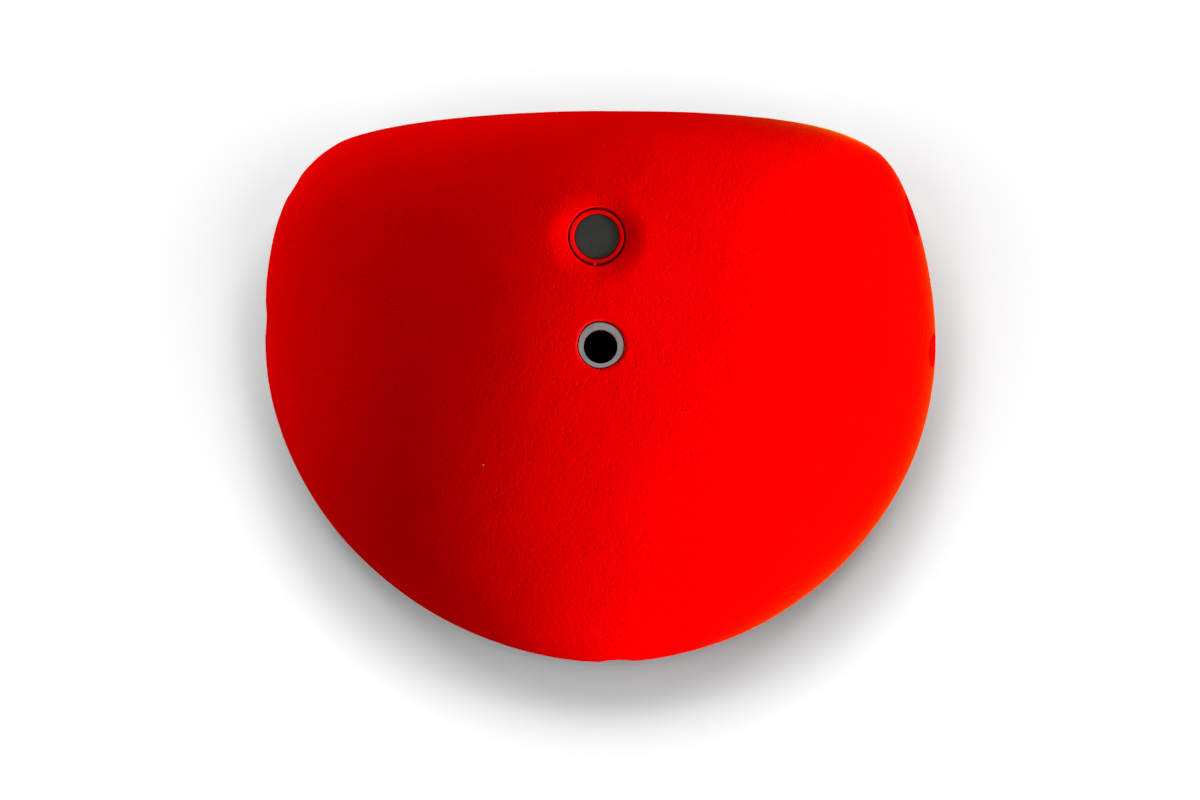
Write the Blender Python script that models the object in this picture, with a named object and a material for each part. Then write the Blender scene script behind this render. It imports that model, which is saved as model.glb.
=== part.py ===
# Two-hand jug hold for a climbing wall. It lies on its back: the wall plane is z = 0, +Z points out of the
# wall, +Y is up the wall towards the lip, and the origin is on the bolt axis. Lengths are in metres.

from math import asin, atan2, cos, pi, radians, sin, sqrt

import bmesh
import bpy
from mathutils import Matrix, Vector
from mathutils.geometry import interpolate_bezier, intersect_line_line_2d, intersect_line_sphere_2d

# Outline seen from the front. A shoulder's inset is from the corner of the box round the outline, and a reach
# is the length of a curve handle. The left shoulder stands a little higher than the right one.
TOP_Y = 0.0841
BOTTOM_Y = -0.1130
BOTTOM_X = 0.0026
HALF_WIDTH = 0.1200
TOP_REACH = 0.0590
BOTTOM_REACH = 0.0608
RIGHT_SHOULDER_INSET = (0.0216, 0.0142)
RIGHT_SHOULDER_SLOPE = radians(-35.0)
RIGHT_SHOULDER_REACH = (0.0179, 0.0158)
RIGHT_SIDE_Y = 0.0006
RIGHT_SIDE_REACH = (0.0238, 0.0642)
LEFT_SHOULDER_INSET = (0.0277, 0.0108)
LEFT_SHOULDER_SLOPE = radians(26.0)
LEFT_SHOULDER_REACH = (0.0061, 0.0318)
LEFT_SIDE_Y = 0.0031
LEFT_SIDE_REACH = (0.0164, 0.0654)
OUTLINE_STEPS = (16, 12, 20)

# Front. Its level lines are ellipses about the bolt axis near the crown and become the outline at the rim.
CROWN_HEIGHT = 0.0900
CROWN_FULLNESS = 2.2
CROWN_ELLIPSE_REACH = 0.0980
CROWN_ELLIPSE_HOLD = 3.0
RIM_HEIGHT = 0.0160
RIM_TUCK = 0.0018
BACK_EDGE = 0.0010
FRONT_RINGS = 11

# Lip and finger pocket
LIP_HEIGHT = 0.0500
LIP_RISE_LENGTH = 0.1120
LIP_ROUNDING = (0.0100, 0.0060)
LIP_STEPS = 4
POCKET_ROOF_RISE = 0.0140
POCKET_ROOF_STEPS = 3
POCKET_WALL = 0.0097
POCKET_END_REACH = 0.0240
POCKET_END_STEPS = 8
POCKET_SIDE_WALL = 0.0280
POCKET_SIDE_BLEND = 0.0440
BASE_THICKNESS = 0.0120
BASE_SETBACK = 0.0045
BASE_ROUNDING = 0.0050
BASE_STEPS = 2

# Bolt hole and its washer
BOLT_BORE_RADIUS = 0.0060
BOLT_SEAT_DEPTH = 0.0110
BOLT_MOUTH_CHAMFER = 0.0012
WASHER_LAND_WIDTH = 0.0025
WASHER_LAND_RISE = 0.0010
WASHER_FLANGE_WIDTH = 0.0055
WASHER_FLANGE_THICKNESS = 0.0025

# Badge
BADGE_X = -0.0013
BADGE_Y = 0.0390
BADGE_RADIUS = 0.00965
BADGE_GROOVE = 0.00055
BADGE_THICKNESS = 0.0032
BADGE_RIM_WIDTH = 0.0017
BADGE_RIM_RISE = 0.0009
BADGE_RIM_EASE = 0.0004
BADGE_PROUD = 0.0004
INLAY_THICKNESS = 0.0010
DIMPLE_MARGIN = 0.0083
DIMPLE_DEPTH = 0.0030
DIMPLE_RINGS = 5

# Screw pockets in the rim: the direction of each from the bolt axis, and the height of its mouth above the
# widest line of the body
SCREW_POCKETS = {
    "right": (radians(-0.6), 0.0080),
    "upper_right": (radians(24.0), 0.0045),
    "upper_left": (radians(152.0), -0.0045),
    "left": (radians(175.0), 0.0),
    "bottom": (radians(-87.0), 0.0010),
}
SCREW_TILT = radians(48.0)
SCREW_HOLE_RADIUS = 0.0026
SCREW_SEAT_DEPTH = 0.0115
SCREW_WASHER_WIDTH = 0.0034
SCREW_WASHER_THICKNESS = 0.0015

# Hollow back
SHELL_WALL = 0.0110
BOSS_WALL = 0.0087
BOSS_STEPS = 5
PLAIN_RIB = 0.0090
SCREW_RIB_WALL = 0.0042
SCREW_RIB_ANGLES = (radians(-180.0), radians(-90.0), 0.0)
PLAIN_RIB_ANGLES = (radians(-135.0), radians(-45.0))
CELL_CORNER = 0.0040
CELL_CORNER_STEPS = 3
CORE_RINGS = 8

GAP = 0.0003
OVERSHOOT = 0.0100
ROUND_STEPS = 48
SMALL_ROUND_STEPS = 28
SMOOTH_ANGLE = radians(32.0)
MERGE_DISTANCE = 1e-6

# Sizes that follow from the ones above
BADGE_CENTRE = Vector((BADGE_X, BADGE_Y))
BEYOND_RIM = 2.0 * HALF_WIDTH
WASHER_LAND_RADIUS = BOLT_BORE_RADIUS + WASHER_LAND_WIDTH
WASHER_FLANGE_RADIUS = WASHER_LAND_RADIUS + WASHER_FLANGE_WIDTH
BOSS_RADIUS = WASHER_FLANGE_RADIUS + GAP + BOSS_WALL
LIP_INNER_HEIGHT = LIP_HEIGHT - LIP_ROUNDING[1]
POCKET_ROOF_HEIGHT = LIP_INNER_HEIGHT + POCKET_ROOF_RISE
POCKET_DEPTH = TOP_Y - (WASHER_FLANGE_RADIUS + GAP + POCKET_WALL)
POCKET_HALF_WIDTH = HALF_WIDTH - POCKET_SIDE_WALL
DIMPLE_RADIUS = BADGE_RADIUS + BADGE_GROOVE + DIMPLE_MARGIN
BADGE_TOP = CROWN_HEIGHT - DIMPLE_DEPTH + BADGE_PROUD
BADGE_FIELD_HEIGHT = BADGE_TOP - BADGE_RIM_RISE
BADGE_FLOOR = BADGE_FIELD_HEIGHT - BADGE_THICKNESS
BADGE_FIELD_RADIUS = BADGE_RADIUS - BADGE_RIM_WIDTH
SCREW_WASHER_RADIUS = SCREW_HOLE_RADIUS + SCREW_WASHER_WIDTH
SCREW_POCKET_RADIUS = SCREW_WASHER_RADIUS + GAP
SCREW_RIB = 2.0 * (SCREW_POCKET_RADIUS + SCREW_RIB_WALL)


def clear_scene():
    for item in list(bpy.data.objects):
        bpy.data.objects.remove(item, do_unlink=True)


def make_material(name, colour, roughness, metallic=0.0):
    material = bpy.data.materials.new(name)
    material.use_nodes = True
    shader = material.node_tree.nodes["Principled BSDF"]
    shader.inputs["Base Color"].default_value = (*colour, 1.0)
    shader.inputs["Roughness"].default_value = roughness
    shader.inputs["Metallic"].default_value = metallic
    return material


def make_object(name, bm, material=None):
    bmesh.ops.recalc_face_normals(bm, faces=bm.faces)
    mesh = bpy.data.meshes.new(name)
    bm.to_mesh(mesh)
    bm.free()
    mesh.shade_smooth()
    mesh.set_sharp_from_angle(angle=SMOOTH_ANGLE)
    piece = bpy.data.objects.new(name, mesh)
    bpy.context.collection.objects.link(piece)
    if material:
        mesh.materials.append(material)
    return piece


def make_cutter(name, bm):
    cutter = make_object(name, bm)
    cutter.hide_render = True
    cutter.display_type = "WIRE"
    return cutter


def boolean(target, operation, other):
    modifier = target.modifiers.new(other.name, "BOOLEAN")
    modifier.operation = operation
    modifier.solver = "EXACT"
    modifier.object = other


def smoothstep(low, high, value):
    t = min(max((value - low) / (high - low), 0.0), 1.0)
    return t * t * (3.0 - 2.0 * t)


def mix(a, b, weight):
    return a + (b - a) * weight


# Outline

def outline_spans():
    """The Bezier spans of the outline, clockwise from the top, each as knot, handle, handle, knot."""
    top = Vector((0.0, TOP_Y))
    right = Vector((HALF_WIDTH, RIGHT_SIDE_Y))
    left = Vector((-HALF_WIDTH, LEFT_SIDE_Y))
    bottom = Vector((BOTTOM_X, BOTTOM_Y))
    right_shoulder = Vector((HALF_WIDTH - RIGHT_SHOULDER_INSET[0], TOP_Y - RIGHT_SHOULDER_INSET[1]))
    left_shoulder = Vector((LEFT_SHOULDER_INSET[0] - HALF_WIDTH, TOP_Y - LEFT_SHOULDER_INSET[1]))
    right_run = Vector((cos(RIGHT_SHOULDER_SLOPE), sin(RIGHT_SHOULDER_SLOPE)))
    left_run = Vector((cos(LEFT_SHOULDER_SLOPE), sin(LEFT_SHOULDER_SLOPE)))
    across = Vector((1.0, 0.0))
    up = Vector((0.0, 1.0))
    knots = (top, right_shoulder, right, bottom, left, left_shoulder)
    before = (
        -across * TOP_REACH,
        -right_run * RIGHT_SHOULDER_REACH[0],
        up * RIGHT_SIDE_REACH[0],
        across * BOTTOM_REACH,
        -up * LEFT_SIDE_REACH[1],
        -left_run * LEFT_SHOULDER_REACH[1],
    )
    after = (
        across * TOP_REACH,
        right_run * RIGHT_SHOULDER_REACH[1],
        -up * RIGHT_SIDE_REACH[1],
        -across * BOTTOM_REACH,
        up * LEFT_SIDE_REACH[0],
        left_run * LEFT_SHOULDER_REACH[0],
    )
    spans = []
    for index, knot in enumerate(knots):
        following = (index + 1) % len(knots)
        end = knots[following]
        spans.append((knot, knot + after[index], end + before[following], end))
    return spans


def outline_points():
    points = []
    for span, steps in zip(outline_spans(), OUTLINE_STEPS + OUTLINE_STEPS[::-1]):
        points += interpolate_bezier(*span, steps + 1)[:-1]
    return [Vector(point[:2]) for point in points]


def outline_at(angle):
    """The outline's point and outward direction where a line from the bolt axis crosses it."""
    points = outline_points()
    far = Vector((cos(angle), sin(angle))) * BEYOND_RIM
    for start, end in zip(points, points[1:] + points[:1]):
        crossing = intersect_line_line_2d(Vector((0.0, 0.0)), far, start, end)
        if crossing:
            run = end - start
            return crossing, Vector((-run.y, run.x)).normalized()
    raise ValueError("the outline does not surround the bolt axis")


# Front

def edge_height(edge):
    """Height of the body's widest line at a point of the outline: low at the sides, raised to the lip."""
    return mix(RIM_HEIGHT, LIP_HEIGHT, smoothstep(TOP_Y - LIP_RISE_LENGTH, TOP_Y, edge.y))


def front_reach(edge, share, inset):
    """Distance from the badge to the level line of a share, if it were stretched out to the rim."""
    def in_circle(point):
        return Vector((point.x / HALF_WIDTH, point.y / CROWN_ELLIPSE_REACH))
    centre = in_circle(BADGE_CENTRE)
    hits = intersect_line_sphere_2d(centre, in_circle(edge), (0.0, 0.0), 1.0, False)
    run = in_circle(edge) - centre
    stretch = max((hit - centre).dot(run) for hit in hits) / run.dot(run)
    outline_reach = (edge - BADGE_CENTRE).length
    return outline_reach * mix(stretch, 1.0, share ** CROWN_ELLIPSE_HOLD) - inset


def front_point(edge, share, inset=0.0):
    """A point of the front towards an outline point: share 0 is at the badge, share 1 on the widest line."""
    base = edge_height(edge) - inset
    spot = BADGE_CENTRE + (edge - BADGE_CENTRE).normalized() * share * front_reach(edge, share, inset)
    rise = (CROWN_HEIGHT - inset - base) * (1.0 - share ** 2) ** (1.0 / CROWN_FULLNESS)
    return Vector((spot.x, spot.y, base + rise))


def share_at_radius(edge, radius, inset=0.0):
    """The share of the front at a distance from the badge, towards an outline point."""
    low = 0.0
    high = 1.0
    while high - low > MERGE_DISTANCE:
        middle = (low + high) / 2.0
        if middle * front_reach(edge, middle, inset) < radius:
            low = middle
        else:
            high = middle
    return low


def share_at_height(edge, height):
    rise = max(height - edge_height(edge), 0.0) / (CROWN_HEIGHT - edge_height(edge))
    return sqrt(1.0 - rise ** CROWN_FULLNESS)


def front_ring(edges, step, steps, inset=0.0):
    """A ring of the front, from the dimple's edge at step 0 to the widest line at the last step."""
    ring = []
    for edge in edges:
        start = asin(share_at_radius(edge, DIMPLE_RADIUS, inset))
        ring.append(front_point(edge, sin(mix(start, pi / 2.0, step / steps)), inset))
    return ring


def dimple_ring(edges, radius):
    sink = Vector((0.0, 0.0, DIMPLE_DEPTH * (1.0 + cos(pi * radius / DIMPLE_RADIUS)) / 2.0))
    return [front_point(edge, share_at_radius(edge, radius)) - sink for edge in edges]


# Lip, pocket and back

def arc(centre, radii, start, end, steps):
    angles = [radians(mix(start, end, i / steps)) for i in range(1, steps + 1)]
    return [(centre[0] + radii[0] * cos(a), centre[1] + radii[1] * sin(a)) for a in angles]


def pocket_section(top):
    """Distance down from the lip and height of each step from the lip round the pocket to the wall plane."""
    middle = (POCKET_ROOF_HEIGHT + BASE_THICKNESS) / 2.0
    half_height = (POCKET_ROOF_HEIGHT - BASE_THICKNESS) / 2.0
    entry = LIP_ROUNDING[0]
    end = POCKET_DEPTH - POCKET_END_REACH
    floor_end = BASE_SETBACK + BASE_ROUNDING
    section = arc((entry, top), (entry, top - LIP_INNER_HEIGHT), 180.0, 270.0, LIP_STEPS)
    for step in range(1, POCKET_ROOF_STEPS + 1):
        share = step / POCKET_ROOF_STEPS
        height = mix(LIP_INNER_HEIGHT, POCKET_ROOF_HEIGHT, smoothstep(0.0, 1.0, share))
        section.append((mix(entry, end, share), height))
    section += arc((end, middle), (POCKET_END_REACH, half_height), 90.0, -90.0, POCKET_END_STEPS)
    section.append(((end + floor_end) / 2.0, BASE_THICKNESS))
    section.append((floor_end, BASE_THICKNESS))
    rounding_centre = (floor_end, BASE_THICKNESS - BASE_ROUNDING)
    section += arc(rounding_centre, (BASE_ROUNDING, BASE_ROUNDING), 90.0, 180.0, BASE_STEPS)
    section.append((BASE_SETBACK, BACK_EDGE))
    return section


def back_rings(edges):
    """Rings from the widest line round the finger pocket, where there is one, down to the wall plane."""
    columns = []
    for edge in edges:
        top = edge_height(edge)
        inward = (BADGE_CENTRE - edge).normalized()
        pocket_share = 0.0
        if edge.y > BADGE_CENTRE.y:
            full_half_width = POCKET_HALF_WIDTH - POCKET_SIDE_BLEND
            pocket_share = 1.0 - smoothstep(full_half_width, POCKET_HALF_WIDTH, abs(edge.x))
        section = pocket_section(top)
        column = []
        for step, (down, height) in enumerate(section, start=1):
            fall = step / len(section)
            plain = edge + inward * RIM_TUCK * fall ** 2
            spot = plain.lerp(edge - Vector((0.0, down)), pocket_share)
            column.append(Vector((spot.x, spot.y, mix(mix(top, BACK_EDGE, fall), height, pocket_share))))
        last = column[-1].xy + inward * BACK_EDGE
        column.append(Vector((last.x, last.y, 0.0)))
        columns.append(column)
    return [list(ring) for ring in zip(*columns)]


# Mesh helpers

def first_ring(bm, points):
    ring = [bm.verts.new(point) for point in points]
    for start, end in zip(ring, ring[1:] + ring[:1]):
        bm.edges.new((start, end))
    return ring


def ring_edges(bm, ring):
    return [bm.edges.get(pair) for pair in zip(ring, ring[1:] + ring[:1])]


def next_ring(bm, ring, points):
    """Extrudes a ring of vertices and moves the new ring to the given points."""
    made = bmesh.ops.extrude_edge_only(bm, edges=ring_edges(bm, ring))["geom"]
    fresh = {item for item in made if isinstance(item, bmesh.types.BMVert)}
    twins = []
    for vert in ring:
        twins.append(next(e.other_vert(vert) for e in vert.link_edges if e.other_vert(vert) in fresh))
    for twin, point in zip(twins, points):
        twin.co = point
    return twins


def close_on(bm, ring, point):
    ring = next_ring(bm, ring, [point] * len(ring))
    bmesh.ops.pointmerge(bm, verts=ring, merge_co=point)


def close_flat(bm, ring):
    bmesh.ops.contextual_create(bm, geom=ring_edges(bm, ring))


def turned(profile, steps):
    """A closed body turned about Z from a closed profile of (radius, height)."""
    bm = bmesh.new()
    verts = [bm.verts.new((radius, 0.0, height)) for radius, height in profile]
    edges = [bm.edges.new(pair) for pair in zip(verts, verts[1:] + verts[:1])]
    bmesh.ops.spin(bm, geom=verts + edges, cent=(0.0, 0.0, 0.0), axis=(0.0, 0.0, 1.0), angle=2.0 * pi,
                   steps=steps, use_merge=True)
    bmesh.ops.remove_doubles(bm, verts=bm.verts, dist=MERGE_DISTANCE)
    return bm


def drum(radius, low, high, steps=ROUND_STEPS):
    bm = bmesh.new()
    bmesh.ops.create_cone(bm, cap_ends=True, segments=steps, radius1=radius, radius2=radius, depth=high - low,
                          matrix=Matrix.Translation((0.0, 0.0, (low + high) / 2.0)))
    return bm


def place(bm, matrix):
    bmesh.ops.transform(bm, matrix=matrix, verts=bm.verts)
    return bm


# Cast body and what is cut from it

def make_block():
    """The solid body: the front from the widest line to the crown, then the pocket and the back."""
    edges = outline_points()
    bm = bmesh.new()
    widest = first_ring(bm, front_ring(edges, FRONT_RINGS, FRONT_RINGS))
    ring = widest
    for step in range(FRONT_RINGS - 1, -1, -1):
        ring = next_ring(bm, ring, front_ring(edges, step, FRONT_RINGS))
    for step in range(DIMPLE_RINGS - 1, 0, -1):
        ring = next_ring(bm, ring, dimple_ring(edges, DIMPLE_RADIUS * step / DIMPLE_RINGS))
    close_on(bm, ring, dimple_ring(edges[:1], 0.0)[0])
    ring = widest
    for points in back_rings(edges):
        ring = next_ring(bm, ring, points)
    close_flat(bm, ring)
    return bm


def make_core():
    """The space that the shell's wall leaves behind the front."""
    edges = outline_points()
    rim = front_ring(edges, CORE_RINGS, CORE_RINGS, SHELL_WALL)
    bm = bmesh.new()
    ring = first_ring(bm, [Vector((point.x, point.y, -OVERSHOOT)) for point in rim])
    close_flat(bm, ring)
    for step in range(CORE_RINGS, -1, -1):
        ring = next_ring(bm, ring, front_ring(edges, step, CORE_RINGS, SHELL_WALL))
    close_on(bm, ring, front_point(edges[0], 0.0, SHELL_WALL))
    return make_cutter("core", bm)


def rib_side(angle, turn):
    """Where one side of a rib leaves the boss, and a point of that side beyond the rim."""
    width = SCREW_RIB if angle in SCREW_RIB_ANGLES else PLAIN_RIB
    run = Vector((cos(angle), sin(angle)))
    shift = Vector((-run.y, run.x)) * turn * width / 2.0
    return shift + run * sqrt(BOSS_RADIUS ** 2 - shift.length ** 2), shift + run * BEYOND_RIM


def make_cell(name, start_angle, end_angle, core):
    """One cell of the back, between two ribs, the bolt boss and the rim wall."""
    first_near, first_far = rib_side(start_angle, 1.0)
    last_near, last_far = rib_side(end_angle, -1.0)
    start = atan2(first_near.y, first_near.x)
    end = atan2(last_near.y, last_near.x)
    turns = [mix(end, start, i / BOSS_STEPS) for i in range(BOSS_STEPS + 1)]
    plan = [first_far, last_far] + [Vector((cos(turn), sin(turn))) * BOSS_RADIUS for turn in turns]
    bm = bmesh.new()
    low = first_ring(bm, [Vector((point.x, point.y, -OVERSHOOT)) for point in plan])
    close_flat(bm, low)
    high = next_ring(bm, low, [Vector((point.x, point.y, CROWN_HEIGHT)) for point in plan])
    close_flat(bm, high)
    corners = [bm.edges.get((low[i], high[i])) for i in (2, len(plan) - 1)]
    bmesh.ops.bevel(bm, geom=corners, offset=CELL_CORNER, offset_type="OFFSET", segments=CELL_CORNER_STEPS,
                    profile=0.5, affect="EDGES", material=-1)
    cell = make_cutter(name, bm)
    boolean(cell, "INTERSECT", core)
    return cell


def bolt_mouth_height():
    """Height of the front where the bolt axis leaves it."""
    edge, _ = outline_at(radians(-90.0))
    return front_point(edge, share_at_radius(edge, BADGE_CENTRE.length)).z


def bolt_seat_height():
    return bolt_mouth_height() - BOLT_SEAT_DEPTH


def bolt_cutter():
    """The bore and counterbore of the bolt, the seat of the washer's flange and the eased mouth."""
    flange_top = bolt_seat_height() - WASHER_LAND_RISE
    flange_bottom = flange_top - WASHER_FLANGE_THICKNESS
    mouth = bolt_mouth_height()
    counterbore = WASHER_LAND_RADIUS + GAP
    profile = [
        (0.0, -OVERSHOOT),
        (BOLT_BORE_RADIUS, -OVERSHOOT),
        (BOLT_BORE_RADIUS, flange_bottom - GAP),
        (WASHER_FLANGE_RADIUS + GAP, flange_bottom - GAP),
        (WASHER_FLANGE_RADIUS + GAP, flange_top + GAP),
        (counterbore, flange_top + GAP),
        (counterbore, mouth - BOLT_MOUTH_CHAMFER),
        (counterbore + BOLT_MOUTH_CHAMFER + OVERSHOOT, mouth + OVERSHOOT),
        (0.0, mouth + OVERSHOOT),
    ]
    return make_cutter("bolt_bore", turned(profile, ROUND_STEPS))


def badge_cutter():
    bm = drum(BADGE_RADIUS + BADGE_GROOVE, BADGE_FLOOR - GAP, CROWN_HEIGHT + OVERSHOOT)
    return make_cutter("badge_recess", place(bm, Matrix.Translation(BADGE_CENTRE.to_3d())))


def screw_frame(angle, rise):
    """Matrix of a screw pocket: origin at the middle of its seat, Z out of the mouth."""
    edge, outward = outline_at(angle)
    axis = Vector((outward.x * cos(SCREW_TILT), outward.y * cos(SCREW_TILT), sin(SCREW_TILT)))
    height = edge_height(edge) + rise
    mouth = front_point(edge, share_at_height(edge, height))
    mouth.z = height
    turn = axis.to_track_quat("Z", "X").to_matrix().to_4x4()
    return Matrix.Translation(mouth - axis * SCREW_SEAT_DEPTH) @ turn


def screw_cutters(name, frame):
    length = frame.translation.z / sin(SCREW_TILT) + OVERSHOOT
    pocket = drum(SCREW_POCKET_RADIUS, 0.0, SCREW_SEAT_DEPTH + OVERSHOOT, SMALL_ROUND_STEPS)
    hole = drum(SCREW_HOLE_RADIUS, -length, OVERSHOOT, SMALL_ROUND_STEPS)
    return (
        make_cutter("screw_pocket_" + name, place(pocket, frame)),
        make_cutter("screw_hole_" + name, place(hole, frame)),
    )


def make_grip_shell(material):
    shell = make_object("grip_shell", make_block(), material)
    core = make_core()
    ribs = sorted(SCREW_RIB_ANGLES + PLAIN_RIB_ANGLES)
    for index, (start, end) in enumerate(zip(ribs, ribs[1:]), start=1):
        boolean(shell, "DIFFERENCE", make_cell(f"cell_{index}", start, end, core))
    boolean(shell, "DIFFERENCE", bolt_cutter())
    boolean(shell, "DIFFERENCE", badge_cutter())
    for name, (angle, rise) in SCREW_POCKETS.items():
        for cutter in screw_cutters(name, screw_frame(angle, rise)):
            boolean(shell, "DIFFERENCE", cutter)


# Pieces set in the body

def make_bolt_washer(material):
    top = bolt_seat_height()
    shoulder = top - WASHER_LAND_RISE
    bottom = shoulder - WASHER_FLANGE_THICKNESS
    profile = [
        (BOLT_BORE_RADIUS, bottom),
        (WASHER_FLANGE_RADIUS, bottom),
        (WASHER_FLANGE_RADIUS, shoulder),
        (WASHER_LAND_RADIUS, shoulder),
        (WASHER_LAND_RADIUS, top),
        (BOLT_BORE_RADIUS, top),
    ]
    make_object("bolt_washer", turned(profile, ROUND_STEPS), material)


def make_badge_coin(material):
    pocket_floor = BADGE_FIELD_HEIGHT - INLAY_THICKNESS - GAP
    profile = [
        (0.0, BADGE_FLOOR),
        (BADGE_RADIUS, BADGE_FLOOR),
        (BADGE_RADIUS, BADGE_TOP - BADGE_RIM_EASE),
        (BADGE_RADIUS - BADGE_RIM_EASE, BADGE_TOP),
        (BADGE_FIELD_RADIUS + BADGE_RIM_EASE, BADGE_TOP),
        (BADGE_FIELD_RADIUS, BADGE_TOP - BADGE_RIM_EASE),
        (BADGE_FIELD_RADIUS, pocket_floor),
        (0.0, pocket_floor),
    ]
    coin = make_object("badge_coin", turned(profile, ROUND_STEPS), material)
    coin.location = BADGE_CENTRE.to_3d()


def make_badge_inlay(material):
    bm = drum(BADGE_FIELD_RADIUS - GAP, BADGE_FIELD_HEIGHT - INLAY_THICKNESS, BADGE_FIELD_HEIGHT)
    inlay = make_object("badge_inlay", bm, material)
    inlay.location = BADGE_CENTRE.to_3d()


def make_screw_washer(name, frame, material):
    profile = [
        (SCREW_HOLE_RADIUS, GAP),
        (SCREW_WASHER_RADIUS, GAP),
        (SCREW_WASHER_RADIUS, GAP + SCREW_WASHER_THICKNESS),
        (SCREW_HOLE_RADIUS, GAP + SCREW_WASHER_THICKNESS),
    ]
    washer = make_object("set_screw_washer_" + name, turned(profile, SMALL_ROUND_STEPS), material)
    washer.matrix_world = frame


def main():
    clear_scene()
    red = make_material("red_cast", (0.80, 0.004, 0.002), 0.85)
    steel = make_material("zinc_steel", (0.42, 0.42, 0.41), 0.45, 1.0)
    badge_red = make_material("badge_red", (0.72, 0.006, 0.004), 0.55)
    dark = make_material("badge_dark", (0.032, 0.032, 0.027), 0.6)
    make_grip_shell(red)
    make_bolt_washer(steel)
    make_badge_coin(badge_red)
    make_badge_inlay(dark)
    for name, (angle, rise) in SCREW_POCKETS.items():
        make_screw_washer(name, screw_frame(angle, rise), steel)


main()
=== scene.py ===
# Looks of the two-hand jug hold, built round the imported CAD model. Lengths are in metres.

from math import asin, atan2, cos, pi, radians, sin, sqrt

import bmesh
import bpy
from mathutils import Matrix, Vector, noise
from mathutils.geometry import interpolate_bezier, intersect_line_line_2d, intersect_line_sphere_2d


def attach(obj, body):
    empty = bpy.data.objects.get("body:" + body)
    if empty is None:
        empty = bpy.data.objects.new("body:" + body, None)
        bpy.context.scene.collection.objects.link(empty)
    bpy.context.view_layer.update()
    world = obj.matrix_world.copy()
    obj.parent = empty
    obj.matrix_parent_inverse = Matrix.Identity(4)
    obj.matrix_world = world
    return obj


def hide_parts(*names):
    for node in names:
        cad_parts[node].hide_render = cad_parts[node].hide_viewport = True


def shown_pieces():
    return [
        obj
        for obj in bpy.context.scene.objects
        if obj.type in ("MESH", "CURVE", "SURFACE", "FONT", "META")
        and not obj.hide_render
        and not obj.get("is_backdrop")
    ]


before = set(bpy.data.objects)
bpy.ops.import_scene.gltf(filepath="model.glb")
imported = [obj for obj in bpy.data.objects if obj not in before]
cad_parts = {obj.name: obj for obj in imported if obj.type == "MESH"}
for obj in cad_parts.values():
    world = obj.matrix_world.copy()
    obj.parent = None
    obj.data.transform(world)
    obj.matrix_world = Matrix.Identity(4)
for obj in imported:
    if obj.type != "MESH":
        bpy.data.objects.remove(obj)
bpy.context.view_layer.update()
print("frame loaded:", len(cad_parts), "CAD nodes")


# Camera, straight above the hold, which lies on its flat back

camera = {
    "middle": (-0.0002, -0.0190),
    "planeHeight": 0.030,
    "distance": 8.0,
    "viewWidth": 0.4292,
    "sensor": 36.0,
}


def makeCamera():
    data = bpy.data.cameras.new("camera")
    data.sensor_width = camera["sensor"]
    data.lens = camera["sensor"] * camera["distance"] / camera["viewWidth"]
    data.clip_start = camera["distance"] / 100
    data.clip_end = camera["distance"] * 4
    item = bpy.data.objects.new("camera", data)
    item.location = (*camera["middle"], camera["planeHeight"] + camera["distance"])
    bpy.context.collection.objects.link(item)
    bpy.context.scene.camera = item


makeCamera()


# Shader wiring. Arithmetic on a Wire adds Math nodes.

class Wire:
    def __init__(self, tree, socket=None):
        self.tree = tree
        self.socket = socket

    # One node: its settings first, then a value or a Wire for each of its sockets
    def node(self, kind, settings=None, sockets=None, output=0):
        made = self.tree.nodes.new("ShaderNode" + kind)
        for name, value in (settings or {}).items():
            setattr(made, name, value)
        for key, value in (sockets or {}).items():
            if isinstance(value, Wire):
                self.tree.links.new(value.socket, made.inputs[key])
            else:
                made.inputs[key].default_value = value
        return Wire(self.tree, made.outputs[output])

    def math(self, operation, first, second):
        return self.node("Math", {"operation": operation}, {0: first, 1: second})

    def __add__(self, other):
        return self.math("ADD", self, other)

    def __radd__(self, other):
        return self.math("ADD", other, self)

    def __sub__(self, other):
        return self.math("SUBTRACT", self, other)

    def __rsub__(self, other):
        return self.math("SUBTRACT", other, self)

    def __mul__(self, other):
        return self.math("MULTIPLY", self, other)

    def __rmul__(self, other):
        return self.math("MULTIPLY", other, self)

    def ramp(self, low, high):
        return self.node("MapRange", {"interpolation_type": "SMOOTHSTEP"}, {0: self, 1: low, 2: high})

    def blend(self, first, second):
        shades = {0: self, 6: tint(first), 7: tint(second)}
        return self.node("Mix", {"data_type": "RGBA"}, shades, 2)


def tint(shade):
    return shade if isinstance(shade, Wire) else (*shade, 1.0)


def startMaterial(name):
    material = bpy.data.materials.new(name)
    material.use_nodes = True
    material.node_tree.nodes.clear()
    wire = Wire(material.node_tree)
    return material, wire, wire.node("TexCoord", output="Object")


def finishMaterial(wire, shader):
    output = wire.tree.nodes.new("ShaderNodeOutputMaterial")
    wire.tree.links.new(shader.socket, output.inputs["Surface"])


def grain(wire, place, scale, detail=2.0, roughness=0.5):
    sockets = {"Vector": place, "Scale": scale, "Detail": detail, "Roughness": roughness}
    return wire.node("TexNoise", None, sockets)


def cells(wire, place, scale, output=0):
    return wire.node("TexVoronoi", None, {"Vector": place, "Scale": scale}, output)


def bumpFrom(wire, look, height):
    sockets = {"Strength": look["bumpStrength"], "Distance": look["bumpHeight"], "Height": height}
    return wire.node("Bump", None, sockets)


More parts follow.
